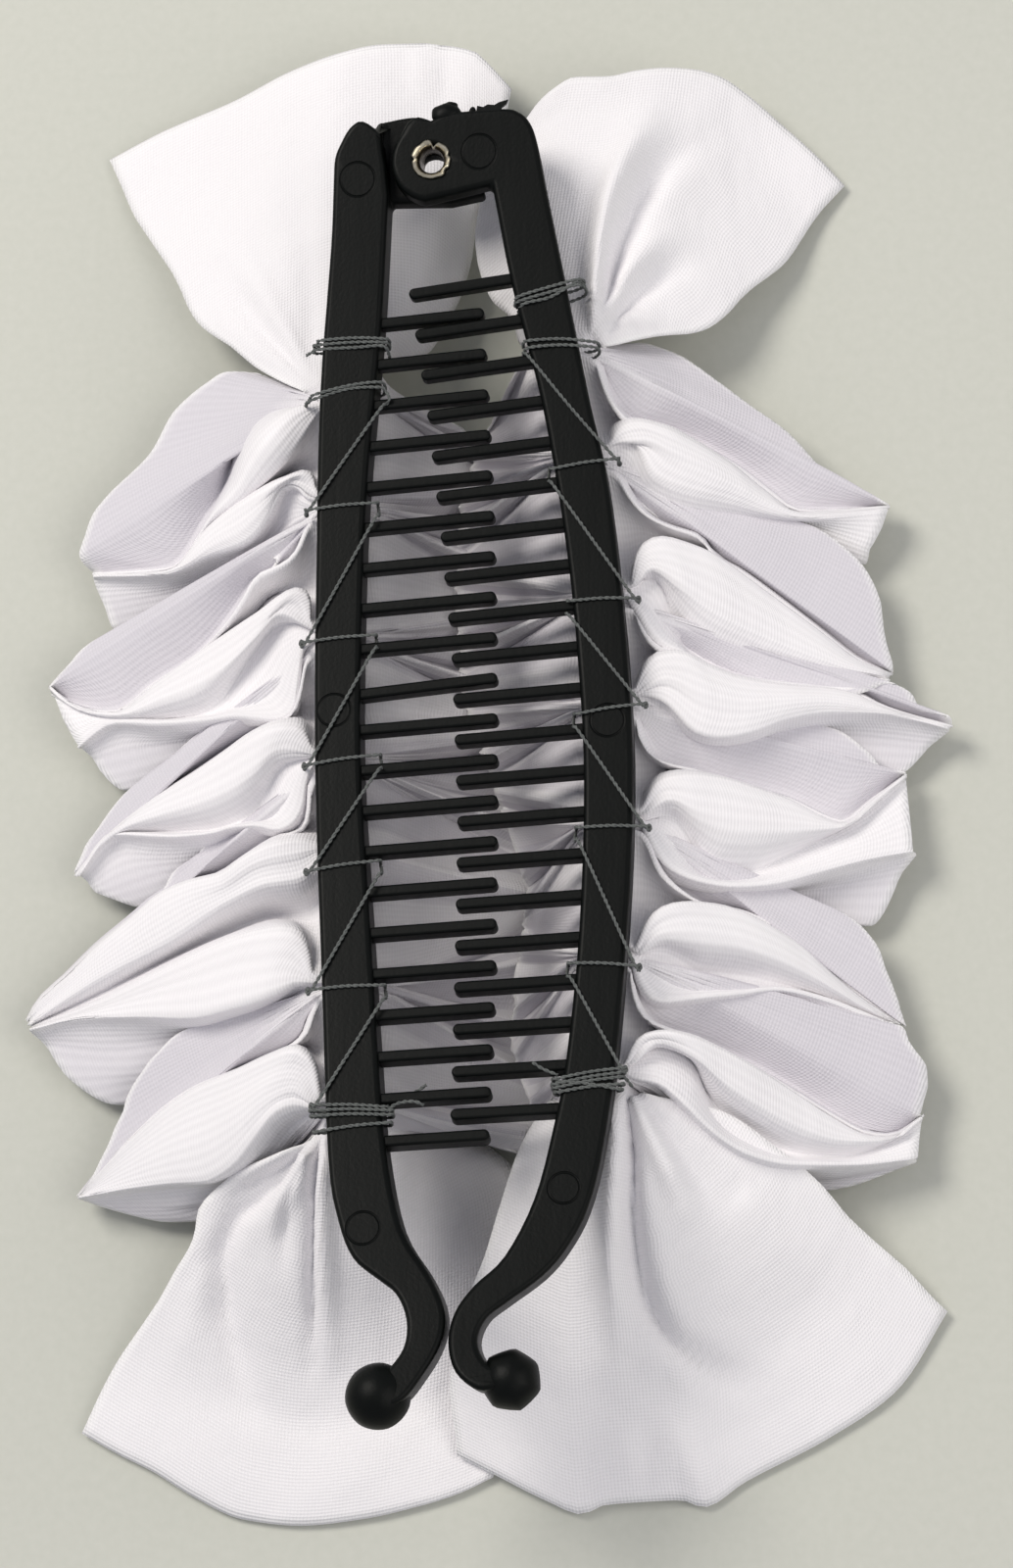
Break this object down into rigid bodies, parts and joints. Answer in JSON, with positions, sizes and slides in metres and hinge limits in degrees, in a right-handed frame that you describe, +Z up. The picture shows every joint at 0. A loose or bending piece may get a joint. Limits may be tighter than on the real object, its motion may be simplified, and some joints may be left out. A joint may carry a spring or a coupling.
{
  "type": "banana hair clip",
  "caption": "Curved comb clip of two toothed plastic arms on an eyelet hinge, with hooked ball ends and a gathered white cotton ruffle sewn along each arm.",
  "frame": {"origin": "centre of the whole object's outline, on the surface that it lies on", "axes": "+Y along the clip towards its hinge, +Z up from the surface towards the head side of the arms, +X to the right arm"},
  "size_m": [0.1052, 0.176, 0.0325],
  "materials": {
    "black_plastic": "satin black moulded plastic",
    "eyelet_metal": "pale plated rolled eyelet",
    "cotton": "thin white plain-weave cotton with raw edges",
    "thread": "dark grey sewing thread"
  },
  "bodies": {
    "left": {"arm_left": "black_plastic", "eyelet": "eyelet_metal", "ruffle_left": "cotton"},
    "right": {"arm_right": "black_plastic", "ruffle_right": "cotton"}
  },
  "joints": [
    {"name": "arm_hinge", "type": "hinge", "parent": "left", "child": "right", "pos_m": [-0.00455, 0.06683, 0.02006], "axis": [0, -0.173, 0.9849], "range_deg": [0, 65]}
  ]
}
